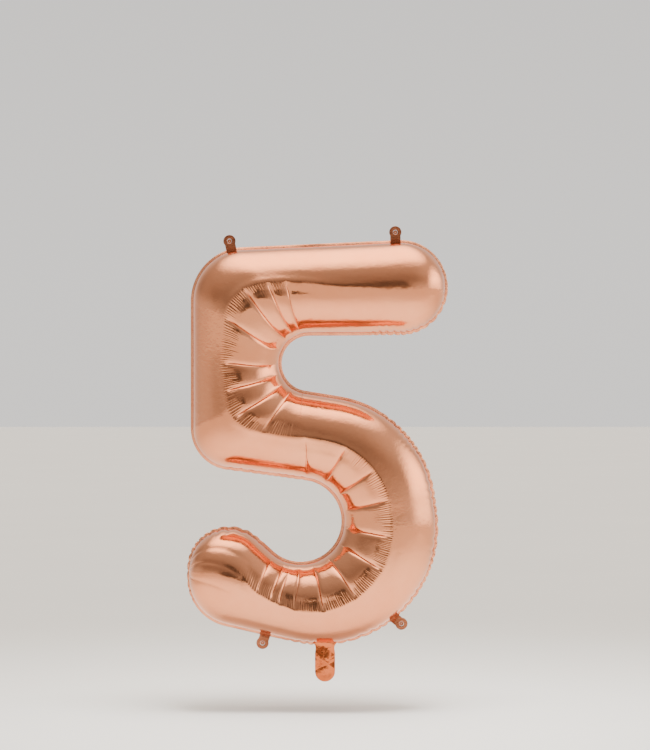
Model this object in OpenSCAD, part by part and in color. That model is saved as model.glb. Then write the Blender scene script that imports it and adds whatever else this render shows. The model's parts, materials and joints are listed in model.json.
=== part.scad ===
// Foil number balloon, figure five, inflated.
// Two films are heat-sealed round the figure's outline and blown up between the sheets.
// X runs across the figure, Y through its thickness (front towards -Y) and Z up.
// The origin is at the neck, where the tail leaves the seam.

/* [Figure] */
// Height of the figure over its seam line
figure_h = 850; // [770:10:1030]
// Width of the figure over its seam line
figure_w = 544; // [455:1:655]
// Depth of the tube from front to back, where it is as wide as the bar
figure_d = 176; // [120:2:200]
// Width of the top bar
bar_w = 193; // [160:1:230]
// Drop of the top edge from the bar's free end to the stem's corner
bar_fall = 15; // [0:1:20]
// Radius of the top bar's free end
bar_end_r = 96; // [80:1:110]
// Width of the upright stem
stem_w = 183; // [150:1:220]
// Distance of the stem's outer edge inside the figure's left side
stem_inset = 8; // [0:1:20]
// Radius of the stem's upper corner
top_corner_r = 110; // [70:1:120]
// Radius of the stem's lower corner
low_corner_r = 84; // [50:1:90]
// Width of the arm that leads from the stem into the bowl
arm_w = 179; // [150:1:220]
// Drop of the arm's upper edge from the upper gap to the bowl
arm_fall = 8; // [2:1:20]
// Rise of the stem's lower corner above the top of the lower gap
corner_rise = 21; // [0:1:30]
// Width of the bowl at its right side
bowl_w = 196; // [160:1:220]
// Width of the bowl at its base
base_w = 167; // [140:1:200]
// Distance of the bowl's right side inside the figure's right side
bowl_inset = 20; // [0:1:40]
// Lean of the bowl's right side, inwards from its foot to its shoulder
bowl_lean = 5; // [0:1:15]
// Radius of the bowl's upper right side
bowl_top_r = 240; // [210:1:260]
// Radius of the bowl's lower right side
bowl_low_r = 245; // [220:1:260]
// Share of the two gaps' height that the upper gap takes
upper_gap_share = 0.41; // [0.36:0.01:0.5]
// Radius of the hook's upper side
hook_top_r = 85; // [70:1:95]
// Radius of the hook's lower side
hook_low_r = 100; // [95:1:115]
// Straight length of the hook's left side
hook_side = 20; // [5:1:40]
// Height from the lower gap's centre down to the centre of the hook's upper radius
hook_drop = 101; // [60:1:130]

/* [Film and seam] */
// Thickness of one foil film
film_t = 0.03; // [0.025:0.005:0.05]
// Thickness of the sealed band over its crimps
seam_t = 0.15; // [0.15:0.01:0.2]
// Width of the sealed band outside the seam line
seam_w = 5; // [4:0.5:8]
// Width of the sealed band inside the seam line
seam_in = 2; // [1.5:0.5:3]
// Lap of the neck's films over the band on each side of the valve
neck_lap = 3; // [2:0.5:5]

/* [Tail] */
// Place of the tail, measured from the middle of the figure's width
tail_x = 16; // [-10:1:30]
// Width of the tail
tail_w = 42; // [36:1:50]
// Length of the tail below the neck
tail_l = 75; // [60:1:95]
// Width of the weld along each side of the tail
tail_weld_w = 4; // [2:0.5:6]

/* [Valve] */
// Gap between the clear valve film and the tail's weld on each side
valve_side = 3; // [1:0.5:6]
// Reach of the valve film above the seam line
valve_l = 110; // [60:5:140]
// Thickness of one valve film
valve_t = 0.02; // [0.01:0.005:0.025]
// Width of the weld along each side of the valve
valve_weld_w = 3; // [2:0.5:5]
// Height of the printed patch that keeps the valve from sealing shut at the neck
print_h = 18; // [10:1:30]
// Distance of the valve's mouth above the end of the tail
inlet_gap = 24; // [20:1:40]

/* [Hanging tabs] */
// Width of a tab's neck
tab_w = 22; // [14:0.5:26]
// Radius of a tab's round head
tab_head_r = 13; // [11:0.5:15]
// Radius of the hole in a tab
tab_hole_r = 5; // [3:0.25:7]
// Distance of the hole from the seam line
tab_reach = 22; // [18:0.5:30]

/* [Fits] */
// How far the straight foot of each tab and of the tail stands out past the sealed band
foot_out = 2.5; // [2:0.5:5]
// Gap at each folding line
fold_gap = 0.3; // [0.2:0.05:0.5]
// Side clearance of the valve in the gap left for it in the seam
valve_clear = 0.5; // [0.2:0.1:1]

/* [Hidden] */

// Stations along the tube in each stretch between two key ribs, and steps across the tube
RIB_COUNTS = [7, 8, 12, 12, 26, 5, 3, 9];
ACROSS = 12;
// Longest step along the sealed band, and facets of small round ends
BAND_STEP = 9;
ROUND = 64;
// Shortest straight line between two pulleys
MIN_LINE = 1;
// Shares of the lower gap's end and of the hook's underside where two of the key ribs stand
TURN_SHARE = 0.84;
UNDER_SHARE = 0.6;
// Where the tabs stand: a share of the top corner, of the underside and of the bowl's lower corner,
// and a step from the bar's end; and how far each one leans from straight out, in degrees
TOP_LEFT_SHARE = 0.14;
TOP_LEFT_LEAN = -2.8;
TOP_RIGHT_STEP = 6;
TOP_RIGHT_LEAN = -1.6;
BOTTOM_LEFT_SHARE = 0.42;
BOTTOM_LEFT_LEAN = -4.9;
BOTTOM_RIGHT_SHARE = 0.47;
BOTTOM_RIGHT_LEAN = 11;

// Widths that follow from others
foot_w = seam_w + foot_out;
valve_w = tail_w - 2 * (tail_weld_w + valve_side);

// Levels and sides of the figure
left = -figure_w / 2 - tail_x;
right = figure_w / 2 - tail_x;
base = foot_w;
gaps_h = figure_h - bar_w - arm_w - base_w;
upper_gap_r = gaps_h / 2 * upper_gap_share;
lower_gap_r = gaps_h / 2 - upper_gap_r;
upper_gap_z = base + figure_h - bar_w - upper_gap_r;
lower_gap_z = base + base_w + lower_gap_r;
lower_gap_x = right - bowl_inset - bowl_w - lower_gap_r;
hook_x = left + hook_top_r;
// The hook's upper radius keeps clear of the lower gap's, so that a straight line joins them
hook_clear = lower_gap_r + hook_top_r + MIN_LINE;
hook_z = lower_gap_z - max(hook_drop, sqrt(max(0, hook_clear ^ 2 - (hook_x - lower_gap_x) ^ 2)));
// and its lower radius doesn't hang below the bowl
hook_low_z = max(hook_z - hook_side, base + hook_low_r);

// The seam line is a belt round these pulleys, taken counter-clockwise: x, z and radius.
// A negative radius turns the belt the other way, round the closed end of a gap.
// They are the bar's end, the top and the low corner of the stem, the lower gap, the hook's upper and
// lower side, the bowl's lower and upper side, and the upper gap.
BAR_END = 0;
TOP_CORNER = 1;
LOWER_GAP = 3;
HOOK_TOP = 4;
HOOK_LOW = 5;
BOWL_LOW = 6;
UPPER_GAP = 8;
figure = [
    [right - bar_end_r, base + figure_h - bar_end_r, bar_end_r],
    [left + stem_inset + top_corner_r, base + figure_h - bar_fall - top_corner_r, top_corner_r],
    [left + stem_inset + low_corner_r, lower_gap_z + lower_gap_r + corner_rise + low_corner_r, low_corner_r],
    [lower_gap_x, lower_gap_z, -lower_gap_r],
    [hook_x, hook_z, hook_top_r],
    [left + hook_low_r, hook_low_z, hook_low_r],
    [right - bowl_inset - bowl_low_r, base + bowl_low_r, bowl_low_r],
    [right - bowl_inset - bowl_lean - bowl_top_r, upper_gap_z - upper_gap_r - arm_fall - bowl_top_r,
     bowl_top_r],
    [left + stem_inset + stem_w + upper_gap_r, upper_gap_z, -upper_gap_r]
];

// Belt geometry. A belt is [pulleys, headings, arc lengths, line lengths, start of each pulley's arc].
function total(v, n) = n <= 0 ? 0 : v[n - 1] + total(v, n - 1);
function wrap(a) = a - 360 * floor(a / 360);
function across(a, b) = norm([b.x - a.x, b.y - a.y]);
function heading(a, b) = atan2(b.y - a.y, b.x - a.x) - asin((b.z - a.z) / across(a, b));
function turn(r, from, to) = r > 0 ? wrap(to - from) : wrap(from - to);
function belt(pulleys) =
    let (n = len(pulleys),
         headings = [for (i = [0:n - 1]) heading(pulleys[i], pulleys[(i + 1) % n])],
         arcs = [for (i = [0:n - 1]) abs(pulleys[i].z) * PI / 180
                 * turn(pulleys[i].z, headings[(i + n - 1) % n], headings[i])],
         lines = [for (i = [0:n - 1]) let (a = pulleys[i], b = pulleys[(i + 1) % n])
                  sqrt(across(a, b) ^ 2 - (b.z - a.z) ^ 2)],
         starts = [for (i = [0:n]) total(arcs, i) + total(lines, i)])
    [pulleys, headings, arcs, lines, starts];
function grown(pulleys, d) = [for (p = pulleys) [p.x, p.y, p.z + d]];
function arc_start(b, i) = b[4][i];
function arc_end(b, i) = b[4][i] + b[2][i];
function girth(b) = b[4][len(b[0])];
function pulley_at(b, s, i = 0) = i + 1 >= len(b[0]) || s < b[4][i + 1] ? i : pulley_at(b, s, i + 1);
// Point and heading of the belt at a distance along it
function belt_at(b, distance) =
    let (s = distance - girth(b) * floor(distance / girth(b)),
         i = pulley_at(b, s),
         p = b[0][i],
         n = len(b[0]),
         on_arc = min(s - b[4][i], b[2][i]),
         a = b[1][(i + n - 1) % n] + sign(p.z) * on_arc / abs(p.z) * 180 / PI,
         along = s - b[4][i] - on_arc)
    [p.x + p.z * sin(a) + along * cos(a), p.y - p.z * cos(a) + along * sin(a), a];
function point_at(b, s) = let (p = belt_at(b, s)) [p.x, p.y];

// Key ribs across the tube, from the bar's free end to the hook's: the distance along the belt
// of the rib's end on the stem's side, and of its end on the bowl's side.
function key_ribs(b) =
    let (tip = arc_start(b, BAR_END) + b[2][BAR_END] / 2,
         end = arc_end(b, HOOK_TOP) + b[3][HOOK_TOP] / 2,
         all = girth(b))
    [[tip, tip + all],
     [arc_end(b, BAR_END), all],
     [arc_end(b, BAR_END) + b[3][UPPER_GAP], arc_end(b, UPPER_GAP)],
     [arc_end(b, TOP_CORNER) + b[3][TOP_CORNER] / 2, arc_start(b, UPPER_GAP) + b[2][UPPER_GAP] / 2],
     [arc_start(b, LOWER_GAP), arc_start(b, UPPER_GAP)],
     [arc_start(b, LOWER_GAP) + TURN_SHARE * b[2][LOWER_GAP], arc_start(b, BOWL_LOW)],
     [arc_end(b, LOWER_GAP), arc_start(b, BOWL_LOW) - UNDER_SHARE * b[3][HOOK_LOW]],
     [arc_start(b, HOOK_TOP), arc_end(b, HOOK_LOW)],
     [end, end]];
function ribs(b) =
    let (keys = key_ribs(b), last = len(keys) - 1)
    [for (k = [0:last - 1], i = [0:RIB_COUNTS[k] - 1])
        let (s = keys[k] + (keys[k + 1] - keys[k]) * i / RIB_COUNTS[k])
        [point_at(b, s.x), point_at(b, s.y)],
     [point_at(b, keys[last].x), point_at(b, keys[last].y)]];

// Half depth of the tube at a rib of width w: it grows with the rib and levels off where the tube is wide
function half_depth(w) =
    let (q = w / bar_w)
    figure_d / 2 * q * pow(2 / (1 + pow(q, 4)), 0.25);
// One surface of a panel, as a list of ribs. It bulges to the side given by face, and lies inset inside
// the outer surface. The first and the last rib are single points, at the two free ends.
function surface_ribs(face, inset) =
    let (all = ribs(belt(grown(figure, -inset))), last = len(all) - 1)
    [for (i = [0:last])
        let (w = norm(all[i][1] - all[i][0]),
             d = max(0, half_depth(w + 2 * inset) - inset))
        [for (j = [0:i == 0 || i == last ? 0 : ACROSS])
            let (a = 180 * j / ACROSS, p = all[i][0] + (all[i][1] - all[i][0]) * (1 - cos(a)) / 2)
            [p.x, face * (seam_t / 2 + d * sin(a)), p.y]]];

// A film shell between an outer and an inner surface, resting on the sealed band all round
module film_shell(face) {
    outer = surface_ribs(face, 0);
    inner = surface_ribs(face, film_t);
    last = len(outer) - 1;
    layer = 2 + (last - 1) * (ACROSS + 1);
    function at(k, i, j) =
        k * layer + (i == 0 ? 0 : i == last ? layer - 1 : 1 + (i - 1) * (ACROSS + 1) + j);
    function halves(q) =
        [for (t = [[q[0], q[1], q[2]], [q[0], q[2], q[3]]])
            if (t[0] != t[1] && t[1] != t[2] && t[2] != t[0]) t];
    function turned(q, over) = over ? [q[0], q[3], q[2], q[1]] : q;
    skins = [for (k = [0, 1], i = [0:last - 1], j = [0:ACROSS - 1])
        each halves(turned([at(k, i, j), at(k, i + 1, j), at(k, i + 1, j + 1), at(k, i, j + 1)],
                           (k == 0) == (face < 0)))];
    rims = [for (j = [0, ACROSS], i = [0:last - 1])
        each halves(turned([at(0, i, j), at(1, i, j), at(1, i + 1, j), at(0, i + 1, j)],
                           (j == 0) == (face < 0)))];
    polyhedron([for (side = [outer, inner], rib = side, p = rib) p], concat(skins, rims), convexity = 6);
}

// A flat piece in the seam plane, from y0 to y1, drawn in x and z
module slab(y0, y1) {
    translate([0, y1, 0]) rotate([90, 0, 0]) linear_extrude(y1 - y0) children();
}
module strip(w, z0, z1, x = 0) {
    translate([x - w / 2, z0]) square([w, z1 - z0]);
}

// Tabs: distance along the seam line, and the way that the tab points, in degrees from +X
seam = belt(figure);
function tab_place(s, lean) = [s, belt_at(seam, s)[2] - 90 + lean];
top_left = tab_place(arc_start(seam, TOP_CORNER) + TOP_LEFT_SHARE * seam[2][TOP_CORNER], TOP_LEFT_LEAN);
top_right = tab_place(arc_end(seam, BAR_END) + TOP_RIGHT_STEP, TOP_RIGHT_LEAN);
bottom_left = tab_place(arc_start(seam, BOWL_LOW) - BOTTOM_LEFT_SHARE * seam[3][HOOK_LOW],
                        BOTTOM_LEFT_LEAN);
bottom_right = tab_place(arc_start(seam, BOWL_LOW) + BOTTOM_RIGHT_SHARE * seam[2][BOWL_LOW],
                         BOTTOM_RIGHT_LEAN);
tabs = [top_left, top_right, bottom_left, bottom_right];

// Puts what it holds at a tab's root, with +X along the tab's fold line and +Y outwards
module at_tab(tab) {
    translate(point_at(seam, tab[0])) rotate(tab[1] - 90) children();
}

// Sealed band: a flat ring of both films, with a straight foot for each tab and for the tail
function ring(d) =
    let (b = belt(grown(figure, d)), n = ceil(girth(b) / BAND_STEP))
    [for (i = [0:n - 1]) point_at(b, girth(b) * i / n)];
module band_outline() {
    outer = ring(seam_w);
    inner = ring(-seam_in);
    n = len(outer);
    polygon(concat(outer, inner),
            [[for (i = [0:n - 1]) i], [for (i = [0:len(inner) - 1]) n + i]]);
    for (tab = tabs) at_tab(tab) strip(tab_w, 0, foot_w);
    strip(tail_w, 0, base + seam_in / 2);
}
// Both films pass over the valve at the neck, one in front and one behind
module perimeter_seam() {
    gap = valve_w + 2 * valve_clear;
    color("#b8745a") {
        slab(-seam_t / 2, seam_t / 2) difference() {
            band_outline();
            strip(gap, -seam_w, base + 2 * seam_w);
        }
        for (y = [-seam_t / 2, film_t])
            slab(y, y + seam_t / 2 - film_t) strip(gap + 2 * neck_lap, 0, base);
    }
}

module front_panel() {
    color("#d99b82") film_shell(-1);
}
module back_panel() {
    color("#d99b82") film_shell(1);
}

// Valve: two clear films welded along their sides. They share the seam's thickness.
module valve_front_film() {
    mirror([0, 1, 0]) valve_back_film();
}
module valve_back_film() {
    color("#e8ece9") slab(film_t - valve_t, film_t) strip(valve_w, 0, base + valve_l);
}
module valve_edge_welds() {
    color("#dfe4e0") slab(valve_t - film_t, film_t - valve_t) for (side = [-1, 1])
        strip(valve_weld_w, 0, base + valve_l, side * (valve_w - valve_weld_w) / 2);
}
module valve_release_print() {
    color("#f0f0ee") slab(valve_t - film_t, film_t - valve_t)
        strip(valve_w - 2 * valve_weld_w, 0, print_h);
}

// Tail: a front and a back leaf welded along their sides, with the valve's mouth between them
module leaf_outline() {
    end_r = tail_w / 2;
    strip(tail_w, end_r - tail_l, -fold_gap);
    translate([0, end_r - tail_l]) circle(end_r, $fn = ROUND);
}
module tail_front_leaf() {
    color("#c9744a") slab(-2 * film_t, -film_t) leaf_outline();
}
module tail_back_leaf() {
    color("#c9744a") slab(film_t, 2 * film_t) leaf_outline();
}
module tail_edge_welds() {
    color("#b8643e") slab(-film_t, film_t) for (side = [-1, 1])
        strip(tail_weld_w, tail_w / 2 - tail_l, -fold_gap, side * (tail_w - tail_weld_w) / 2);
}
module tail_inlet_back_film() {
    color("#e8ece9") slab(film_t - valve_t, film_t) strip(valve_w, inlet_gap - tail_l, -fold_gap);
}
module tail_inlet_front_film() {
    mirror([0, 1, 0]) tail_inlet_back_film();
}

// Hanging tab: both films sealed flat, with a round head and a punched hole
module hang_tab(tab) {
    color("#8f4f37") slab(-film_t, film_t) at_tab(tab) difference() {
        union() {
            strip(tab_w, foot_w + fold_gap, tab_reach);
            intersection() {
                translate([0, tab_reach]) circle(tab_head_r, $fn = ROUND);
                strip(4 * tab_head_r, foot_w + fold_gap, tab_reach + 2 * tab_head_r);
            }
        }
        translate([0, tab_reach]) circle(tab_hole_r, $fn = ROUND);
    }
}
module hang_tab_top_left() {
    hang_tab(top_left);
}
module hang_tab_top_right() {
    hang_tab(top_right);
}
module hang_tab_bottom_left() {
    hang_tab(bottom_left);
}
module hang_tab_bottom_right() {
    hang_tab(bottom_right);
}

front_panel();
back_panel();
perimeter_seam();
valve_front_film();
valve_back_film();
valve_edge_welds();
valve_release_print();
tail_front_leaf();
tail_back_leaf();
tail_edge_welds();
tail_inlet_front_film();
tail_inlet_back_film();
hang_tab_top_left();
hang_tab_top_right();
hang_tab_bottom_left();
hang_tab_bottom_right();
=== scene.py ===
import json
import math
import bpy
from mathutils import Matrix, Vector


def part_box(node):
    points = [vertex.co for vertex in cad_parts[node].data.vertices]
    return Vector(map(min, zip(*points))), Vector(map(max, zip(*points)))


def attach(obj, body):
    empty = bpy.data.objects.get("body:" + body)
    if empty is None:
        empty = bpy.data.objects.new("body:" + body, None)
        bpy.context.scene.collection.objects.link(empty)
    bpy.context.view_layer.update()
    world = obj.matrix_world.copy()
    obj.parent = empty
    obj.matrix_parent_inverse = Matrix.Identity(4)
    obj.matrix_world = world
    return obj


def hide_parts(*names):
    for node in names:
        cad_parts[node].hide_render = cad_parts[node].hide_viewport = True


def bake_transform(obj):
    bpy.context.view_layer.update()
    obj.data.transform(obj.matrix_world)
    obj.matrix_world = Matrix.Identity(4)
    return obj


bl_info = {
    "name": "Foil Figure Five",
    "version": (1, 0, 0),
    "blender": (4, 5, 0),
    "location": "3D Viewport > Sidebar > Foil Five",
    "description": "Builds the looks of an inflated foil balloon shaped as the figure five",
    "category": "Object",
}

import bpy
import numpy as np
from bpy.props import FloatProperty, FloatVectorProperty, IntProperty, PointerProperty
from mathutils import Vector

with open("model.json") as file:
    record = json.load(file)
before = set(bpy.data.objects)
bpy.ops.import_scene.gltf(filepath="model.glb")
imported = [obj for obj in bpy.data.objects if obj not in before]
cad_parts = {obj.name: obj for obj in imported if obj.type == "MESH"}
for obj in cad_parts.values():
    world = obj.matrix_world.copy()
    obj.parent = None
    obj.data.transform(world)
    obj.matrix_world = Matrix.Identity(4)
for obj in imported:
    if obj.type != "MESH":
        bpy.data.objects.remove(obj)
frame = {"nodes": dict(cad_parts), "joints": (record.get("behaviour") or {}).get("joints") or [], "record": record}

MM = 0.001

# Pulleys of the seam line, counter-clockwise. 2 is the stem's low corner and 7 the bowl's upper side.
BAR_END, TOP_CORNER, LOWER_GAP, HOOK_TOP, HOOK_LOW, BOWL_LOW, UPPER_GAP = 0, 1, 3, 4, 5, 6, 8
# Places of two key ribs, as shares of the lower gap's end and of the hook's underside
TURN_SHARE = 0.84
UNDER_SHARE = 0.6
# Key ribs are numbered 0 to 8 from the bar's free end to the hook's. A station is a key rib's number
# and the fraction on the way to the next.
LAST_KEY = 8
# Share of the film's extra width that lies on the stem's side, at each key rib
OUTER_SHARE = (0.5, 0.6, 0.8, 1.0, 0.75, 0.0, 0.0, 0.3, 0.5)
# The film starts to be blown up at this share of its drawn depth, shaken by this much
FIRST_DEPTH, FIRST_SHAKE = 0.9, 0.0003
# Where the ridge runs: station, and place across the film from the stem's side
RIDGE = ((0, 0.5), (1.6, 0.49), (2.2, 0.43), (3.0, 0.41), (3.5, 0.47), (4.5, 0.5), (4.9, 0.55),
         (5.6, 0.52), (6.4, 0.49), (7.2, 0.4), (8, 0.5))
# The station where the inner side of the bends changes from the bowl's side to the stem's side
SIDE_CHANGE = 3.95
# Pinched creases, by station at the ridge: round the corner, round the turn into the bowl, under the bowl
CORNER_CREASES = (2.15, 2.28, 2.45, 2.7, 3.0, 3.2, 3.42, 3.67)
TURN_CREASES = (4.0, 4.15, 4.28, 4.4, 4.53, 4.65, 4.78, 4.9, 5.0)
BOWL_CREASES = (5.43, 5.67, 6.17)
# How strongly the film is pleated along the ridge, by station
PLEATING = ((0, 0.0), (1.2, 0.0), (1.7, 0.45), (2.1, 1.0), (3.9, 1.0), (4.1, 0.9), (5.2, 1.0), (6.6, 0.8),
            (7.3, 0.2), (8, 0.0))
# Stretches of the seam where the film puckers: side of the tube, first and last station, strength
PUCKERS = ((1, 0.2, 1.3, 1.0), (0, 0.0, 0.35, 0.4), (0, 3.6, 4.02, 0.5), (1, 4.2, 5.15, 1.0),
           (0, 6.9, 8.0, 1.0), (1, 7.6, 8.0, 0.6))
# Lengthwise folds towards the hook's end: place across the film
HOOK_FOLDS = (0.3, 0.44, 0.6)
# How far the rows of the finished film lean along the creases: station, and lean in stations
ROW_LEAN = ((0, 0), (1.9, 0), (2.3, 0.06), (3.4, 0.07), (3.9, 0.02), (4.1, -0.01), (5.0, -0.03), (5.3, -0.2),
            (5.5, -0.26), (6.3, -0.26), (7.0, -0.05), (8, 0))
# How strongly the finished film's columns crowd towards the ridge and the two rims
CROWDING = 0.35
# Distance between rows of the sealed band
BAND_STEP = 0.0016
# Shown thickness of the sealed band, a leaf of the tail, its welds, a tab and a clear film
BAND_T, LEAF_T, WELD_T, TAB_T, CLEAR_T = 0.00022, 0.00010, 0.00034, 0.00026, 0.00005


# ---- settings


def length(name, text, value):
    return FloatProperty(name=name, description=text, default=value, unit="LENGTH", subtype="DISTANCE")


def number(name, text, value):
    kind = IntProperty if isinstance(value, int) else FloatProperty
    return kind(name=name, description=text, default=value)


def tint(name, text, value):
    return FloatVectorProperty(name=name, description=text, default=value, min=0, max=1, subtype="COLOR")


class FigureSizes(bpy.types.PropertyGroup):
    height: length("Height", "Height of the figure, without tabs and tail", 0.850)
    width: length("Width", "Width of the figure", 0.544)
    depth: length("Depth", "Depth of the tube where it is as wide as the bar", 0.176)
    bar: length("Bar", "Width of the bar's tube", 0.193)
    bar_fall: length("Bar fall", "Fall of the bar's top towards the stem", 0.015)
    bar_end_r: length("Bar end radius", "Radius of the bar's end", 0.096)
    stem: length("Stem", "Width of the stem's tube", 0.183)
    stem_inset: length("Stem inset", "Distance of the stem inside the hook's left side", 0.008)
    top_corner_r: length("Top corner radius", "Radius of the top corner", 0.110)
    low_corner_r: length("Low corner radius", "Radius of the stem's low corner", 0.084)
    arm: length("Arm", "Width of the tube above the lower gap", 0.179)
    arm_fall: length("Arm fall", "Fall of the arm's top", 0.008)
    corner_rise: length("Corner rise", "Rise of the low corner over the gap", 0.021)
    bowl: length("Bowl", "Width of the bowl's tube", 0.196)
    base: length("Base", "Width of the tube at the bottom", 0.167)
    bowl_inset: length("Bowl inset", "Distance of the bowl inside the bar's end", 0.020)
    bowl_lean: length("Bowl lean", "Lean of the bowl's right side", 0.005)
    bowl_top_r: length("Bowl top radius", "Radius of the bowl's upper right side", 0.240)
    bowl_low_r: length("Bowl low radius", "Radius of the bowl's lower right side", 0.245)
    upper_gap_share: number("Upper gap share", "Share of the gaps' height in the upper one", 0.41)
    hook_top_r: length("Hook top radius", "Radius of the hook's upper side", 0.085)
    hook_low_r: length("Hook low radius", "Radius of the hook's lower side", 0.100)
    hook_side: length("Hook side", "Straight length of the hook's left side", 0.020)
    hook_drop: length("Hook drop", "Height from the gap's centre to the hook's", 0.101)
    foot: length("Foot", "Height of the seam line over the neck", 0.0075)
    tail_x: length("Tail place", "Place of the tail from the figure's middle", 0.016)
    seam_out: length("Seam width", "Width of the sealed band outside the seam line", 0.005)
    seam_in: length("Seam inside", "Width of the sealed band inside the seam line", 0.002)
    tail_w: length("Tail width", "Width of the tail", 0.042)
    tail_l: length("Tail length", "Length of the tail below the neck", 0.075)
    tail_weld: length("Tail weld", "Width of the weld along each side of the tail", 0.004)
    tab_w: length("Tab width", "Width of a tab's neck", 0.022)
    tab_head_r: length("Tab head radius", "Radius of a tab's round head", 0.013)
    tab_hole_r: length("Tab hole radius", "Radius of the hole in a tab", 0.005)
    tab_reach: length("Tab reach", "Distance of the hole from the seam line", 0.022)


class FoilSettings(bpy.types.PropertyGroup):
    seed: number("Seed", "Seed of every irregular detail", 5)
    sim_step: length("Cloth step", "Length of one cell of the blown-up film", 0.0075)
    sim_frames: number("Cloth frames", "Frames for which the film is blown up", 36)
    pressure: number("Pressure", "Pressure inside, in Blender's units", 700.0)
    evening: number("Evening", "Passes that even the blown-up film along the tube", 14)
    row_step: length("Row step", "Distance between two rows of the finished film", 0.0013)
    columns: number("Columns", "Steps of the finished film across the tube", 84)
    crease: length("Crease depth", "Depth of a pinched crease", 0.0026)
    crease_w: length("Crease width", "Half width of a crease's shoulders", 0.0038)
    crease_end: length("Crease end", "Distance from the seam at which creases run out", 0.050)
    pillow: length("Pillow", "Rise of the film between two creases", 0.0026)
    pleat: length("Pleat height", "Height of a pleat on the ridge", 0.0011)
    pleat_step: length("Pleat spacing", "Mean distance between two pleats", 0.0048)
    ridge: length("Ridge height", "Height of the roll along the ridge", 0.0016)
    ridge_w: length("Ridge width", "Half width of the roll", 0.0085)
    pucker: length("Pucker height", "Height of a pucker beside the seam", 0.0044)
    pucker_step: length("Pucker spacing", "Distance between two puckers", 0.0190)
    band_tilt: length("Band tilt", "How far back the sealed band's edge bends", 0.0022)
    crimp: length("Crimp", "Height of the sealed band's waves", 0.0010)
    crimp_step: length("Crimp spacing", "Distance between two of the sealed band's waves", 0.0105)
    film_tint: tint("Film", "Colour of the panels", (0.87, 0.342, 0.168))
    film_second: tint("Film, second", "Second colour of the panels", (0.83, 0.295, 0.137))
    band_tint: tint("Band", "Colour of the sealed band", (0.87, 0.355, 0.185))
    band_second: tint("Band, second", "Second colour of the sealed band", (0.78, 0.275, 0.14))
    tail_tint: tint("Tail", "Colour of the tail", (0.68, 0.18, 0.06))
    tail_second: tint("Tail, second", "Second colour of the tail", (0.52, 0.11, 0.03))
    weld_tint: tint("Weld", "Colour of the tail's welds", (0.72, 0.33, 0.19))
    weld_second: tint("Weld, second", "Second colour of the tail's welds", (0.52, 0.20, 0.11))
    # The tabs' two colours are painted shade: dark red-brown tones on the same rose-gold film, standing in for the
    # tabs' shade and dark reflections
    tab_shaded_tint: tint("Tabs", "Colour of the hanging tabs", (0.38, 0.13, 0.065))
    tab_shaded_second: tint("Tabs, second", "Second colour of the hanging tabs", (0.25, 0.08, 0.04))


class StageSettings(bpy.types.PropertyGroup):
    centre: FloatVectorProperty(
        name="Centre", description="Point that the camera faces", default=(0.0, 0.0, 0.576), subtype="XYZ")
    view_h: length("View height", "Height of the view in the seam's plane", 1.592)
    distance: length("Camera distance", "Distance of the camera from the seam's plane", 5.5)
    floor_drop: length("Floor drop", "Distance of the floor below the tail", 0.06)
    floor_reach: length("Floor reach", "Half the length of the floor's side", 30)
    world: number("Tent strength", "Strength of the soft light all round", 1.0)
    floor_tint: tint("Floor", "Colour of the floor", (0.66, 0.66, 0.65))
    floor_second: tint("Floor, second", "Second colour of the floor", (0.62, 0.62, 0.61))


def settings(context):
    return context.scene.five_sizes, context.scene.five_foil


# ---- the seam line and the tube


def smooth(x, a, b):
    """0 below a, 1 above b and a soft step between."""
    t = np.clip((np.asarray(x, float) - a) / (b - a), 0, 1)
    return t * t * (3 - 2 * t)


def pulleys(s):
    """The pulleys of the seam line: x, z and radius. A negative radius is the closed end of a gap."""
    left, right, base = -s.width / 2 - s.tail_x, s.width / 2 - s.tail_x, s.foot
    stem_x, bowl_x = left + s.stem_inset, right - s.bowl_inset
    gaps = (s.height - s.bar - s.arm - s.base) / 2
    upper_r = gaps * s.upper_gap_share
    lower_r = gaps - upper_r
    upper_z = base + s.height - s.bar - upper_r
    lower_z = base + s.base + lower_r
    lower_x = bowl_x - s.bowl - lower_r
    hook_x = left + s.hook_top_r
    clear = lower_r + s.hook_top_r + MM
    hook_z = lower_z - max(s.hook_drop, math.sqrt(max(0, clear**2 - (hook_x - lower_x) ** 2)))
    return np.array([
        (right - s.bar_end_r, base + s.height - s.bar_end_r, s.bar_end_r),
        (stem_x + s.top_corner_r, base + s.height - s.bar_fall - s.top_corner_r, s.top_corner_r),
        (stem_x + s.low_corner_r, lower_z + lower_r + s.corner_rise + s.low_corner_r, s.low_corner_r),
        (lower_x, lower_z, -lower_r),
        (hook_x, hook_z, s.hook_top_r),
        (left + s.hook_low_r, hook_z - s.hook_side, s.hook_low_r),
        (bowl_x - s.bowl_low_r, base + s.bowl_low_r, s.bowl_low_r),
        (bowl_x - s.bowl_lean - s.bowl_top_r, upper_z - upper_r - s.arm_fall - s.bowl_top_r, s.bowl_top_r),
        (stem_x + s.stem + upper_r, upper_z, -upper_r),
    ])


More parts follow.
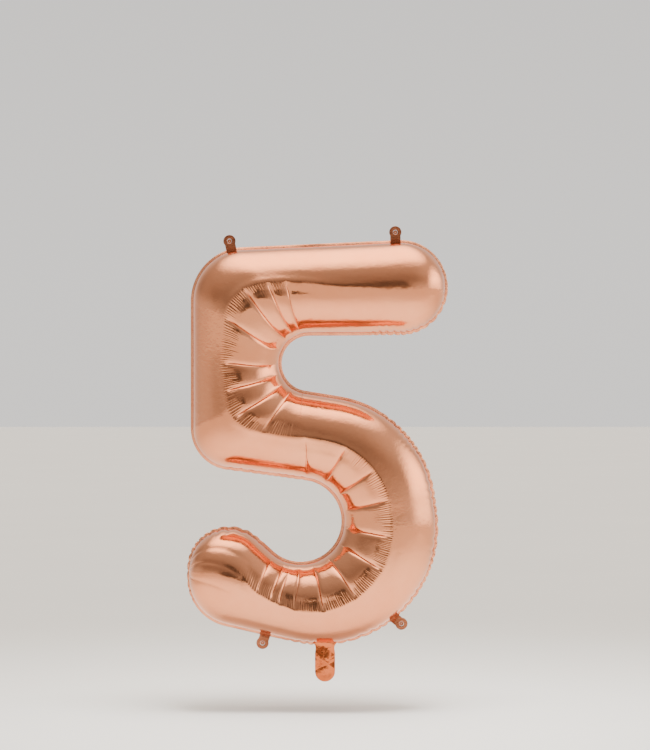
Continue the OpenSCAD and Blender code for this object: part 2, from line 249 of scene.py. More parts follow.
class Belt:
    """The seam line, as a belt round the pulleys."""

    def __init__(self, sizes):
        self.p = pulleys(sizes)
        step = np.roll(self.p, -1, 0) - self.p
        apart = np.hypot(step[:, 0], step[:, 1])
        self.head = np.degrees(np.arctan2(step[:, 1], step[:, 0]) - np.arcsin(step[:, 2] / apart))
        self.before = np.roll(self.head, 1)
        turn = np.where(self.p[:, 2] > 0, self.head - self.before, self.before - self.head) % 360
        self.arc = np.abs(self.p[:, 2]) * np.radians(turn)
        self.line = np.sqrt(apart**2 - step[:, 2] ** 2)
        self.start = np.concatenate([[0], np.cumsum(self.arc + self.line)])
        self.girth = self.start[-1]

    def arc_end(self, i):
        return self.start[i] + self.arc[i]

    def at(self, distance):
        """Points (x, z) and outward directions (x, z) at distances along the belt."""
        s = np.asarray(distance, float) % self.girth
        i = np.clip(np.searchsorted(self.start, s, side="right") - 1, 0, len(self.p) - 1)
        p = self.p[i]
        on = np.minimum(s - self.start[i], self.arc[i])
        a = np.radians(self.before[i]) + np.sign(p[..., 2]) * on / np.abs(p[..., 2])
        along = s - self.start[i] - on
        out = np.stack([np.sin(a), -np.cos(a)], -1)
        ahead = np.stack([np.cos(a), np.sin(a)], -1)
        return p[..., :2] + p[..., 2:] * out + along[..., None] * ahead, out

    def key_ribs(self):
        """Distances along the belt of each key rib's end on the stem's side and on the bowl's side."""
        tip = self.arc[BAR_END] / 2
        end = self.arc_end(HOOK_TOP) + self.line[HOOK_TOP] / 2
        return np.array([
            (tip, tip + self.girth),
            (self.arc_end(BAR_END), self.girth),
            (self.arc_end(BAR_END) + self.line[UPPER_GAP], self.arc_end(UPPER_GAP)),
            (self.arc_end(TOP_CORNER) + self.line[TOP_CORNER] / 2,
             self.start[UPPER_GAP] + self.arc[UPPER_GAP] / 2),
            (self.start[LOWER_GAP], self.start[UPPER_GAP]),
            (self.start[LOWER_GAP] + TURN_SHARE * self.arc[LOWER_GAP], self.start[BOWL_LOW]),
            (self.arc_end(LOWER_GAP), self.start[BOWL_LOW] - UNDER_SHARE * self.line[HOOK_LOW]),
            (self.start[HOOK_TOP], self.arc_end(HOOK_LOW)),
            (end, end),
        ])


class Tube:
    """The figure as a bent tube, with a rib across it at every station."""

    def __init__(self, sizes, step):
        self.s = sizes
        self.belt = Belt(sizes)
        self.keys = self.belt.key_ribs()
        mids = [self.belt.at(k)[0].mean(0) for k in self.keys]
        counts = []
        for k in range(LAST_KEY):
            run = np.abs(self.keys[k + 1] - self.keys[k]).max()
            counts.append(max(2, round((run + np.linalg.norm(mids[k + 1] - mids[k])) / 2 / step)))
        self.station = np.concatenate([k + np.arange(n) / n for k, n in enumerate(counts)] + [[LAST_KEY]])
        self.a, self.b = self.ribs(self.station)
        self.w = np.linalg.norm(self.b - self.a, axis=1)
        q = self.w / sizes.bar
        self.d = sizes.depth / 2 * q * (2 / (1 + q**4)) ** 0.25

    def ribs(self, station):
        """The two ends, in x and z, of the ribs at these stations."""
        along = [np.interp(station, np.arange(LAST_KEY + 1), self.keys[:, side]) for side in (0, 1)]
        return [self.belt.at(a)[0] for a in along]

    def half_girths(self, share, samples=240):
        """For each rib, half the tube's girth, and the angles at these shares of it."""
        a = np.linspace(0, math.pi, samples)
        run, angles = np.zeros(len(self.w)), np.zeros((len(self.w), len(share)))
        for i, (w, d) in enumerate(zip(self.w, self.d)):
            speed = np.hypot(w / 2 * np.sin(a), d * np.cos(a))
            going = np.concatenate([[0], np.cumsum((speed[1:] + speed[:-1]) / 2)]) * (a[1] - a[0])
            run[i] = going[-1]
            angles[i] = np.interp(share, going / max(going[-1], 1e-9), a)
        return run, angles


def grid_faces(index):
    """Faces of a grid of vertex numbers, without the corners that fall together."""
    quads = np.stack([index[:-1, :-1], index[1:, :-1], index[1:, 1:], index[:-1, 1:]], -1).reshape(-1, 4)
    found = [list(dict.fromkeys(q)) for q in quads.tolist()]
    return [corners for corners in found if len(corners) > 2]


def closed_ends(rows, columns):
    """Vertex numbers of a grid whose first and last row are single points."""
    index = np.zeros((rows, columns), int)
    index[1:-1] = 1 + np.arange((rows - 2) * columns).reshape(rows - 2, columns)
    index[-1] = 1 + (rows - 2) * columns
    return index


def from_grid(grid):
    """The vertices of a grid whose first and last row are single points."""
    return np.concatenate([grid[:1, 0], grid[1:-1].reshape(-1, grid.shape[-1]), grid[-1:, 0]])


def make_object(name, vertices, faces, material=None, smooth_faces=True):
    mesh = bpy.data.meshes.new(name)
    mesh.from_pydata(np.asarray(vertices, float).tolist(), [], faces)
    mesh.update()
    mesh.polygons.foreach_set("use_smooth", [smooth_faces] * len(mesh.polygons))
    if material:
        mesh.materials.append(material)
    obj = bpy.data.objects.new(name, mesh)
    bpy.context.scene.collection.objects.link(obj)
    return obj


def blown_up_film(s, foil):
    """One film of the figure, held along the seam line and blown up as cloth. Returns the tube and the film's
    points, one row for each rib."""
    tube = Tube(s, foil.sim_step)
    share = np.linspace(0, 1, round(s.depth / 2 * math.pi / foil.sim_step) + 1)
    run, angle = tube.half_girths(share)
    across = (1 - np.cos(angle)) / 2
    drawn = np.zeros((len(tube.w), len(share), 3))
    drawn[..., ::2] = tube.a[:, None] + (tube.b - tube.a)[:, None] * across[..., None]
    drawn[..., 1] = -tube.d[:, None] * np.sin(angle)
    index = closed_ends(*drawn.shape[:2])
    shake = np.random.default_rng(foil.seed).normal(0, FIRST_SHAKE, (index.max() + 1, 3))
    start = from_grid(drawn * (1, FIRST_DEPTH, 1)) + shake
    obj = make_object("film_being_blown_up", start, grid_faces(index))
    rim = sorted(set(index[:, 0].tolist() + index[:, -1].tolist()))
    points = blown_up(obj, from_grid(cut_film(tube, run, share)), rim, foil)
    return tube, drawn + evened(points[index] - drawn, foil.evening)


def blown_up(obj, flat, rim, foil):
    """Blows up an object, cut flat and held at its rim, as cloth. Removes it and returns its points."""
    obj.shape_key_add(name="Basis")
    key = obj.shape_key_add(name="flat")
    key.data.foreach_set("co", flat.ravel().astype(np.float32))
    key.value = 0
    obj.vertex_groups.new(name="rim").add(rim, 1.0, "REPLACE")
    cloth = obj.modifiers.new("Cloth", "CLOTH")
    made_of = {
        "quality": 7, "mass": 0.05, "air_damping": 1.0,
        "tension_stiffness": 300, "compression_stiffness": 100, "shear_stiffness": 60,
        "bending_stiffness": 0.01, "bending_model": "ANGULAR",
        "tension_damping": 15, "compression_damping": 15, "shear_damping": 15, "bending_damping": 2,
        "use_pressure": True, "uniform_pressure_force": foil.pressure,
        "vertex_group_mass": "rim", "pin_stiffness": 50, "rest_shape_key": key,
    }
    for name, value in made_of.items():
        setattr(cloth.settings, name, value)
    cloth.settings.effector_weights.gravity = 0
    cloth.collision_settings.use_collision = False
    cloth.point_cache.frame_start, cloth.point_cache.frame_end = 1, foil.sim_frames
    scene = bpy.context.scene
    for now in range(1, foil.sim_frames + 1):
        scene.frame_set(now)
    blown = obj.evaluated_get(bpy.context.evaluated_depsgraph_get())
    points = np.empty(len(blown.data.vertices) * 3)
    blown.data.vertices.foreach_get("co", points)
    scene.frame_set(1)
    mesh = obj.data
    bpy.data.objects.remove(obj)
    bpy.data.meshes.remove(mesh)
    if not np.isfinite(points).all():
        raise RuntimeError("the blown-up film isn't finite: use more cloth frames or less pressure")
    return points.reshape(-1, 3)


def evened(moved, passes):
    """The film's move from its drawn shape, evened out along the tube, so that only the broad shape stays."""
    for _ in range(passes):
        moved[1:-1] = (moved[:-2] + 2 * moved[1:-1] + moved[2:]) / 4
    return moved


def cut_film(tube, run, share, cap=0.03):
    """The film as it is cut, flat: each rib as long as half the tube's girth, and the two ends pushed out."""
    extra = run - tube.w
    way = np.zeros_like(tube.a)
    way[1:-1] = (tube.b - tube.a)[1:-1] / tube.w[1:-1, None]
    way[0], way[-1] = way[1], way[-2]
    part = np.interp(tube.station, np.arange(LAST_KEY + 1), OUTER_SHARE)
    a = tube.a - way * (extra * part)[:, None]
    b = tube.b + way * (extra * (1 - part))[:, None]
    for ends, far in (((0, 1), 0), ((LAST_KEY, LAST_KEY - 1), -1)):
        mid = [np.mean(tube.ribs(np.array([float(e)])), axis=0)[0] for e in ends]
        out = (mid[0] - mid[1]) / np.linalg.norm(mid[0] - mid[1])
        near = np.clip(1 - np.abs(tube.station - ends[0]), 0, 1)
        push = cap * near[:, None] * out
        a, b = a + push, b + push
    flat = np.zeros((len(tube.w), len(share), 3))
    flat[..., ::2] = a[:, None] + (b - a)[:, None] * share[:, None]
    return flat


def curve_samples(values, at):
    """Values along the first axis at fractional places, on a curve through them all. at has a row for each
    sample, with one place for all columns of values or one for each."""
    i = np.clip(np.floor(at).astype(int), 0, len(values) - 2)
    f = (at - i)[..., None]
    weights = (((-f + 2) * f - 1) * f / 2, ((3 * f - 5) * f * f + 2) / 2, ((-3 * f + 4) * f + 1) * f / 2,
               (f - 1) * f * f / 2)
    columns = np.arange(values.shape[1])
    return sum(w * values[np.clip(i + k, 0, len(values) - 1), columns] for k, w in enumerate(weights, -1))


# ---- the film's fine shape


def finished_film(tube, film, foil, seed):
    """The blown-up film with its creases, pleats and puckers. Returns a fine grid of points."""
    rng = np.random.default_rng(seed)
    stations, lean = film_rows(tube, foil)
    share = np.linspace(0, 1, foil.columns + 1)
    share = share - CROWDING * np.sin(4 * math.pi * share) / (4 * math.pi)
    ridge = np.interp(stations, *zip(*RIDGE))
    inner = np.where(stations < SIDE_CHANGE, 1.0, -1.0)
    lean_at = smooth((share[None, :] - ridge[:, None]) * inner[:, None], 0, 0.4)
    at_station = np.clip(stations[:, None] + lean[:, None] * lean_at, 0, LAST_KEY)
    across = curve_samples(np.swapaxes(film, 0, 1), share[:, None] * (film.shape[1] - 1))
    rows = np.interp(at_station, tube.station, np.arange(len(tube.station)))
    grid = curve_samples(np.swapaxes(across, 0, 1), rows)
    rims = rim_distances(tube, at_station)
    grid[:, [0, -1]] = rim_points(tube, rims, foil)
    normal, run, span = measures(grid, share, ridge)
    rise = creases(foil, rng, stations, run, span) + pleats(foil, rng, stations, run, span, ridge, share)
    rise += puckers(tube, foil, rims, span) + hook_folds(stations, share)
    edge = np.minimum(span - span[:, :1], span[:, -1:] - span)
    rise *= smooth(edge, 0.0, 0.006)
    return grid + normal * rise[..., None]


def film_rows(tube, foil):
    """Stations of the finished film's rows, with a row on every crease, and how far each row leans."""
    stations = []
    for k in range(LAST_KEY):
        inside = (tube.station >= k) & (tube.station <= k + 1)
        mid = (tube.a + tube.b)[inside] / 2
        count = max(8, round(1.25 * np.linalg.norm(np.diff(mid, axis=0), axis=1).sum() / foil.row_step))
        stations.append(k + np.arange(count) / count)
    stations = np.concatenate([*stations, [LAST_KEY]])
    for c in (*CORNER_CREASES, *TURN_CREASES, *BOWL_CREASES):
        stations[np.argmin(np.abs(stations - c))] = c
    return stations, np.interp(stations, *zip(*ROW_LEAN))


def rim_distances(tube, at_station):
    """Distances along the seam line of the first and the last column's points."""
    keys = np.arange(LAST_KEY + 1)
    return [np.interp(at_station[:, c], keys, tube.keys[:, k]) for k, c in enumerate((0, -1))]


def rim_points(tube, rims, foil):
    """Points of the seam line for the first and the last column."""
    found = np.zeros((len(rims[0]), 2, 3))
    for k, at in enumerate(rims):
        p, out = tube.belt.at(at)
        found[:, k, ::2] = p + out * scallops(tube, foil, at)[:, None]
    return found


def scallops(tube, foil, at):
    """How far the seam line is drawn in, at distances along the belt: in scallops, where the film puckers."""
    at = at % tube.belt.girth
    return foil.pucker * band_waves(tube, at) * (scallop_wave(foil, at) - 1) * 0.8


def scallop_wave(foil, at):
    """1 at the crown of a scallop and 0 between two."""
    phase = at / foil.pucker_step + 0.5 * np.sin(at / 0.051) + 0.3 * np.sin(at / 0.023)
    return np.abs(np.sin(math.pi * phase)) ** 0.55


def measures(grid, share, ridge):
    """Normals, distances along the tube from its first row, and signed distances across it from the ridge."""
    normal = normals(np.gradient(grid, axis=0), np.gradient(grid, axis=1))
    steps = [np.linalg.norm(np.diff(grid, axis=k), axis=2) for k in (0, 1)]
    run, span = [np.insert(np.cumsum(step, axis=k), 0, 0, axis=k) for k, step in enumerate(steps)]
    middle = np.array([np.interp(r, share, row) for r, row in zip(ridge, span)])
    return normal, run, span - middle[:, None]


def normals(along, across):
    """Unit vectors square to two grids of directions."""
    normal = np.cross(along, across)
    return normal / np.maximum(np.linalg.norm(normal, axis=2, keepdims=True), 1e-12)


def creases(foil, rng, stations, run, span):
    """Pinched creases from the ridge to near the inner seam, with the film swelling between them."""
    rise = np.zeros_like(run)
    for group in (CORNER_CREASES, TURN_CREASES, BOWL_CREASES):
        on_bowl_side = group[0] < SIDE_CHANGE
        inward = span if on_bowl_side else -span
        rim = span[:, -1:] - span if on_bowl_side else span - span[:, :1]
        rows = [int(np.argmin(np.abs(stations - c))) for c in group]
        for r in rows:
            deep = foil.crease * rng.uniform(0.75, 1.15)
            wide = foil.crease_w * rng.uniform(0.8, 1.2)
            out = foil.crease_end + rng.uniform(-0.012, 0.010)
            window = smooth(inward, -0.003, 0.010) * smooth(rim, out - 0.014, out + 0.016)
            rise -= deep * np.exp(-np.abs(run - run[r]) / wide) * window
        for r0, r1 in zip(rows, rows[1:]):
            part = slice(r0, r1 + 1)
            gap = np.maximum(run[r1] - run[r0], 1e-6)
            x = np.clip((run[part] - run[r0]) / gap, 0, 1)
            high = foil.pillow * np.minimum(1, gap / 0.045)
            window = smooth(inward[part], 0.0, 0.024) * smooth(rim[part], 0.015, 0.060)
            rise[part] += high * (np.sqrt(4 * x * (1 - x)) - 0.8) * window
    return rise


def pleats(foil, rng, stations, run, span, ridge, share):
    """Short fine pleats across the ridge, and the roll that they stand on."""
    column = np.clip(np.searchsorted(share, ridge), 0, len(share) - 1)
    s = run[np.arange(len(run)), column]
    edges = [0.0]
    while edges[-1] < s[-1] + foil.pleat_step:
        edges.append(edges[-1] + foil.pleat_step * rng.uniform(0.65, 1.4))
    edges = np.array(edges)
    k = np.clip(np.searchsorted(edges, s, side="right") - 1, 0, len(edges) - 2)
    phase = (s - edges[k]) / (edges[k + 1] - edges[k])
    high = rng.uniform(0.35, 1.0, len(edges))[k]
    reach = rng.uniform(0.018, 0.042, len(edges))[k][:, None]
    start = rng.uniform(0.003, 0.007, len(edges))[k][:, None]
    strength = np.interp(stations, *zip(*PLEATING))[:, None]
    wave = (np.abs(np.sin(math.pi * phase)) ** 0.7 - 0.6)[:, None]
    on_stem_side = smooth(stations, SIDE_CHANGE - 0.15, SIDE_CHANGE + 0.15)[:, None]
    rise = 0
    for inward, part in ((span, 1 - on_stem_side), (-span, on_stem_side)):
        window = smooth(inward, -start, start * 0.5) * (1 - smooth(inward, reach * 0.35, reach))
        roll = np.exp(-(((inward + 0.002) / foil.ridge_w) ** 2))
        dip = np.exp(-(((inward - 0.020) / (foil.ridge_w * 1.1)) ** 2))
        rise = rise + part * (foil.pleat * high[:, None] * wave * window + foil.ridge * (roll - 0.7 * dip))
    return strength * rise


def puckers(tube, foil, rims, span):
    """Short puckers that run into the seam where its line is drawn in."""
    rise = np.zeros_like(span)
    for k, at in enumerate(rims):
        away = (span[:, -1:] - span) if k else (span - span[:, :1])
        at = at % tube.belt.girth
        wave = scallop_wave(foil, at) - 1
        reach = 0.020 + 0.008 * np.sin(at / 0.019)
        rise += foil.pucker * (wave * band_waves(tube, at))[:, None] * np.exp(-((away / reach[:, None]) ** 2))
    return rise


def hook_folds(stations, share):
    """Soft lengthwise folds towards the hook's end."""
    rise = np.zeros((len(stations), len(share)))
    ends = (smooth(stations, 6.7, 7.3) * (1 - smooth(stations, 7.75, 7.98)))[:, None]
    for k, place in enumerate(HOOK_FOLDS):
        off = np.abs(share[None, :] - place - 0.02 * np.sin(3 * stations + k)[:, None])
        rise -= 0.0016 * ends * np.exp(-off / 0.022)
    return rise


# ---- thin plates


def plate(points, thickness, ring=False):
    """Vertices and faces of a closed thin plate over a grid of points. ring joins the last row to the
    first."""
    wrapped = np.concatenate([points[-1:], points, points[:1]]) if ring else points
    along = np.gradient(wrapped, axis=0)
    along = along[1:-1] if ring else along
    half = normals(along, np.gradient(points, axis=1)) * thickness / 2
    rows, columns = points.shape[:2]
    index = np.arange(rows * columns).reshape(rows, columns)
    if ring:
        index = np.concatenate([index, index[:1]])
    top, low = index, index + rows * columns
    faces = grid_faces(top) + [f[::-1] for f in grid_faces(low)]
    faces += grid_faces(np.stack([low[:, 0], top[:, 0]], 1))
    faces += grid_faces(np.stack([top[:, -1], low[:, -1]], 1))
    if not ring:
        faces += grid_faces(np.stack([top[0], low[0]], 1)) + grid_faces(np.stack([low[-1], top[-1]], 1))
    return np.concatenate([(points + half).reshape(-1, 3), (points - half).reshape(-1, 3)]), faces


def joined(parts):
    """Several pairs of vertices and faces as one."""
    vertices, faces, count = [], [], 0
    for v, f in parts:
        vertices.append(v)
        faces += [[k + count for k in face] for face in f]
        count += len(v)
    return np.concatenate(vertices), faces


def crumple(x, z, rng, folds, high, wide, reach=(0.02, 0.075)):
    """Height over a sheet that was crumpled along straight folds, which lie within reach in x and -z."""
    rise = np.zeros_like(x)
    for _ in range(folds):
        way = rng.uniform(0, math.pi)
        off = rng.uniform(-1, 1) * reach[0]
        d = (x - off) * math.cos(way) + (z + rng.uniform(0, reach[1])) * math.sin(way)
        rise += high * rng.uniform(-1, 1) * np.exp(-np.abs(d) / (wide * rng.uniform(0.6, 1.6)))
    return rise


# ---- materials


class Socket:
    """A node's output, on which shader maths is written as plain sums."""

    def __init__(self, shader, link):
        self.shader, self.link = shader, link

    def _math(self, what, *values, clamp=False):
        return self.shader.node("ShaderNodeMath", {"operation": what, "use_clamp": clamp}, values)

    def __add__(self, other):
        return self._math("ADD", self, other)

    __radd__ = __add__

    def __sub__(self, other):
        return self._math("SUBTRACT", self, other)

    def __rsub__(self, other):
        return self._math("SUBTRACT", other, self)

    def __mul__(self, other):
        return self._math("MULTIPLY", self, other)

    __rmul__ = __mul__

    def clamped(self):
        return self._math("ADD", self, 0.0, clamp=True)

    def mapped(self, low, high, to_low=0.0, to_high=1.0):
        """A soft step from to_low where this is low to to_high where it is high."""
        return self.shader.node("ShaderNodeMapRange", {"interpolation_type": "SMOOTHSTEP"},
                                (self, low, high, to_low, to_high))


class Shader:
    """The nodes of a material or of the world."""

    def __init__(self, owner):
        owner.use_nodes = True
        self.owner = owner
        self.tree = owner.node_tree

    def node(self, kind, settings=None, inputs=(), output=0):
        """Adds a node. inputs is a list in the sockets' order, or a dict of socket names."""
        made = self.tree.nodes.new(kind)
        for name, value in (settings or {}).items():
            setattr(made, name, value)
        pairs = inputs.items() if isinstance(inputs, dict) else enumerate(inputs)
        for name, value in pairs:
            self.put(made.inputs[name], value)
        return Socket(self, made.outputs[output])

    def put(self, socket, value):
        if isinstance(value, Socket):
            self.tree.links.new(value.link, socket)
        elif socket.type == "RGBA":
            socket.default_value = (*value, 1)
        else:
            socket.default_value = value

    def set(self, node="Principled BSDF", **values):
        """Sets sockets of the last node, each named in lower case with underscores."""
        for name, value in values.items():
            self.put(self.tree.nodes[node].inputs[name.replace("_", " ").title()], value)

    def place(self, kind="Object"):
        return self.node("ShaderNodeTexCoord", output=kind)

    def parts(self, vector):
        """The three numbers of a vector."""
        first = self.node("ShaderNodeSeparateXYZ", {}, (vector,))
        return [Socket(self, output) for output in first.link.node.outputs]

    def noise(self, scale, detail=2.0, roughness=0.5, stretch=None):
        """Noise from 0 to 1. stretch scales the three axes of the pattern."""
        at = self.place()
        if stretch:
            at = self.node("ShaderNodeVectorMath", {"operation": "MULTIPLY"}, (at, stretch))
        return self.node("ShaderNodeTexNoise", {},
                         {"Vector": at, "Scale": scale, "Detail": detail, "Roughness": roughness})

    def colour(self, factor, a, b):
        """a where factor is 0 and b where it is 1."""
        return self.node("ShaderNodeMix", {"data_type": "RGBA"}, {0: factor, 6: a, 7: b}, output=2)

    def bump(self, height, distance, strength=1.0):
        return self.node("ShaderNodeBump", {}, {"Height": height, "Distance": distance, "Strength": strength})


def metal_foil(name, colour, second, rough, wrinkle):
    """Metallised film: a soft variation in tint and gloss, and a fine uneven skin."""
    m = Shader(bpy.data.materials.new(name))
    cloudy = m.noise(7.0, 3.0).mapped(0.35, 0.65)
    streaks = m.noise(46.0, 4.0, 0.6).mapped(0.35, 0.75)
    skin = m.noise(90.0, 3.0, 0.55)
    grain = m.noise(900.0, 2.0, 0.5)
    m.set(base_color=m.colour(cloudy * 0.5 + streaks * 0.3, colour, second),
          metallic=1.0,
          roughness=(rough + (streaks - 0.5) * 0.05 + cloudy * 0.03).clamped(),
          normal=m.bump(skin * wrinkle + grain * wrinkle * 0.04, 0.001))
    return m.owner


def crimped_foil(name, colour, second, rough):
    """Heat-sealed film: duller, with the sealing bar's fine knurling."""
    m = Shader(bpy.data.materials.new(name))
    cloudy = m.noise(30.0, 3.0).mapped(0.3, 0.7)
    knurl = m.node("ShaderNodeTexVoronoi", {"feature": "F1"}, {"Vector": m.place(), "Scale": 900.0})
    m.set(base_color=m.colour(cloudy, colour, second),
          metallic=1.0,
          roughness=(rough + (cloudy - 0.5) * 0.10).clamped(),
          normal=m.bump(knurl + m.noise(220.0, 3.0), 0.00035))
    return m.owner


def clear_film(name):
    """Thin clear film with faint haze and stretch marks."""
    m = Shader(bpy.data.materials.new(name))
    haze = m.noise(60.0, 4.0, 0.6, (1.0, 1.0, 0.25)).mapped(0.3, 0.8)
    m.set(base_color=m.colour(haze, (0.86, 0.89, 0.88), (0.74, 0.77, 0.76)),
          roughness=(haze * 0.15 + 0.12).clamped(),
          alpha=(haze * 0.25 + 0.32).clamped(),
          normal=m.bump(haze, 0.0003))
    return m.owner


def printed_film(name):
    """Matte white print with a slightly uneven laydown."""
    m = Shader(bpy.data.materials.new(name))
    laydown = m.noise(140.0, 4.0, 0.7)
    m.set(base_color=m.colour(laydown.mapped(0.3, 0.7), (0.90, 0.90, 0.89), (0.80, 0.80, 0.79)),
          roughness=(laydown * 0.2 + 0.55).clamped(),
          normal=m.bump(laydown, 0.00005))
    return m.owner


def matte(name, colour, second):
    """Plain painted surface for the stage."""
    m = Shader(bpy.data.materials.new(name))
    patch = m.noise(1.3, 3.0)
    m.set(base_color=m.colour(patch, colour, second), roughness=(patch * 0.1 + 0.75).clamped())
    return m.owner


# ---- operators


class FIVE_OT_panels(bpy.types.Operator):
    """Blow up the two films and give them their creases and pleats"""
    bl_idname = "five.panels"
    bl_label = "Front and back film"
    bl_options = {"REGISTER", "UNDO"}

    def execute(self, context):
        s, foil = settings(context)
        tube, film = blown_up_film(s, foil)
        low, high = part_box("front_panel")
        rim = np.concatenate([tube.a, tube.b])
        off = max(abs(rim[:, 0].min() - low.x), abs(rim[:, 0].max() - high.x),
                  abs(rim[:, 1].min() - low.z), abs(rim[:, 1].max() - high.z))
        if off > 2 * MM:
            raise RuntimeError(f"the sizes here and the CAD part's differ by {off / MM:.1f} mm")
        skin = metal_foil("rose_gold_film", foil.film_tint, foil.film_second, 0.12, 0.30)
        for name, side, seed in (("front_film", 1, foil.seed), ("back_film", -1, foil.seed + 1)):
            grid = finished_film(tube, film, foil, seed) * (1, side, 1)
            faces = [f[::side] for f in grid_faces(closed_ends(*grid.shape[:2]))]
            obj = make_object(name, from_grid(grid), faces, skin)
            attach(obj, "root")
            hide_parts("front_panel" if side > 0 else "back_panel")
        return {"FINISHED"}


class FIVE_OT_seam(bpy.types.Operator):
    """Make the sealed band round the figure"""
    bl_idname = "five.seam"
    bl_label = "Sealed band"
    bl_options = {"REGISTER", "UNDO"}

    def execute(self, context):
        s, foil = settings(context)
        v, f = plate(band_grid(Tube(s, foil.sim_step), foil), BAND_T, ring=True)
        skin = crimped_foil("crimped_rose_gold", foil.band_tint, foil.band_second, 0.22)
        obj = make_object("sealed_band", v, f, skin)
        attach(obj, "root")
        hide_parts("perimeter_seam")
        return {"FINISHED"}


def band_grid(tube, foil):
    """The sealed band's middle surface: rows round the belt, columns from its inner edge outwards."""
    s, belt = tube.s, tube.belt
    count = round(belt.girth / BAND_STEP)
    at = np.arange(count) * belt.girth / count
    point, out = belt.at(at)
    across = np.linspace(-s.seam_in, s.seam_out, 9)
    grow = across[None, :] + scallops(tube, foil, at)[:, None]
    rng = np.random.default_rng(foil.seed + 2)
    phase = at / foil.crimp_step + 0.4 * np.sin(at / 0.027)
    strength = foil.crimp * (0.12 + band_waves(tube, at))
    lift = strength * np.sin(2 * math.pi * phase + rng.normal(0, 0.2, count))
    sway = 0.0006 * np.sin(at / 0.043) + 0.0004 * np.sin(at / 0.017 + 1)
    grid = np.zeros((count, len(across), 3))
    grid[..., ::2] = point[:, None] + out[:, None] * grow[..., None]
    grid[..., 1] = np.clip(across / s.seam_out, 0, 1) ** 1.3 * (lift + sway + foil.band_tilt)[:, None]
    return grid


def band_waves(tube, at):
    """How strongly the band is scalloped at distances along the belt, from 0 to 1."""
    found = np.zeros(len(at))
    for side, first, last, strength in PUCKERS:
        ends = np.interp([first, last], np.arange(LAST_KEY + 1), tube.keys[:, side])
        low, high = min(ends), max(ends)
        for turn in (0, tube.belt.girth):
            inside = smooth(at + turn, low - 0.03, low + 0.02)
            inside = inside * (1 - smooth(at + turn, high - 0.02, high + 0.03))
            found = np.maximum(found, strength * inside)
    return found


class FIVE_OT_tail(bpy.types.Operator):
    """Make the tail's two wrinkled leaves and the welds along its sides"""
    bl_idname = "five.tail"
    bl_label = "Tail"
    bl_options = {"REGISTER", "UNDO"}

    def execute(self, context):
        s, foil = settings(context)
        skin = metal_foil("tail_foil", foil.tail_tint, foil.tail_second, 0.24, 1.6)
        welded = crimped_foil("tail_weld_foil", foil.weld_tint, foil.weld_second, 0.32)
        half, x, z, middle, rng = tail_sheet(s, foil)
        end_r = s.tail_w / 2
        centre = end_r - s.tail_l
        across = np.abs(x / half[:, None])
        body = smooth(1 - across, s.tail_weld / end_r * 0.8, 0.75) * smooth(z, -s.tail_l, centre - 0.004)
        puff = 0.00025 + 0.0022 * body * (0.6 + 0.4 * np.sin(z / 0.011) ** 2)
        for name, side in (("front", -1), ("back", 1)):
            fine = crumple(x, z, rng, 12, 0.0007, 0.0025) * body
            y = middle + side * (puff + np.abs(fine) * smooth(-z, -0.004, 0.006))
            v, f = plate(np.stack([x, y, z], -1), LEAF_T)
            obj = make_object(f"tail_{name}_leaf_foil", v, f, skin)
            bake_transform(obj)
            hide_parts(f"tail_{name}_leaf")
        keep = z[:, 0] > centre
        parts = []
        for side in (-1, 1):
            weld_x = half[keep][:, None] * np.linspace(1 - s.tail_weld / end_r, 1.012, 7) * side
            grid = on_sheet(weld_x, x[keep], z[keep], middle[keep])
            parts.append(plate(grid[:, ::side], WELD_T))
        v, f = joined(parts)
        obj = make_object("tail_edge_weld_foil", v, f, welded)
        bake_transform(obj)
        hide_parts("tail_edge_welds")
        return {"FINISHED"}


def tail_sheet(s, foil):
    """The tail's middle surface: half its width and x, z and y over its rows and columns, and the source of
    the leaves' random draws."""
    folds = np.random.default_rng(foil.seed + 3).spawn(2)
    top, end_r = s.foot + MM, s.tail_w / 2
    centre = end_r - s.tail_l
    round_end = centre - end_r * np.sin(np.linspace(0, 1, 26)[1:] * 1.53)
    z = np.concatenate([np.linspace(top, centre, 76), round_end])
    half = np.where(z > centre, end_r, np.sqrt(np.maximum(end_r**2 - (z - centre) ** 2, 1e-8)))
    half = half + 0.0035 * smooth(z, 0.001, top) - 0.0012 * np.exp(-(((z + 0.004) / 0.006) ** 2))
    across = np.linspace(-1, 1, 41)
    x, z = half[:, None] * across, z[:, None] + 0 * across
    middle = crumple(x, z, folds[0], 26, 0.0015, 0.005)
    middle = middle + 0.0022 * np.sin(z / 0.019) * smooth(-z, 0.004, 0.03)
    middle = (middle - middle.mean()) * smooth(-z, -0.006, 0.004)
    return half, x, z, middle, folds[1]


def on_sheet(at, x, z, y):
    """Points of a sheet at other places across it. at has as many rows as the sheet."""
    found = np.array([np.interp(*row) for row in zip(at, x, y)])
    return np.stack([at, found, z[:, :1] + 0 * at], -1)


class FIVE_OT_valve(bpy.types.Operator):
    """Lay the valve's clear films in the tail, and give those in the neck their film and print"""
    bl_idname = "five.valve"
    bl_label = "Valve"
    bl_options = {"REGISTER", "UNDO"}

    def execute(self, context):
        s, foil = settings(context)
        film, printed = clear_film("valve_film"), printed_film("white_print")
        _, x, z, middle, _ = tail_sheet(s, foil)
        low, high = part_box("tail_inlet_front_film")
        keep = (z[:, 0] < high.z) & (z[:, 0] > low.z)
        film_x = np.linspace(low.x, high.x, 21) + 0 * z[keep][:, :1]
        for name, side in (("front", -1), ("back", 1)):
            grid = on_sheet(film_x, x[keep], z[keep], middle[keep])
            grid[..., 1] += side * 0.00012
            v, f = plate(grid, CLEAR_T)
            obj = make_object(f"inlet_{name}_film", v, f, film)
            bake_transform(obj)
            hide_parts(f"tail_inlet_{name}_film")
        for name, node in frame["nodes"].items():
            if name.startswith("valve"):
                is_print = name == "valve_release_print"
                node.data.materials.clear()
                node.data.materials.append(printed if is_print else film)
        return {"FINISHED"}


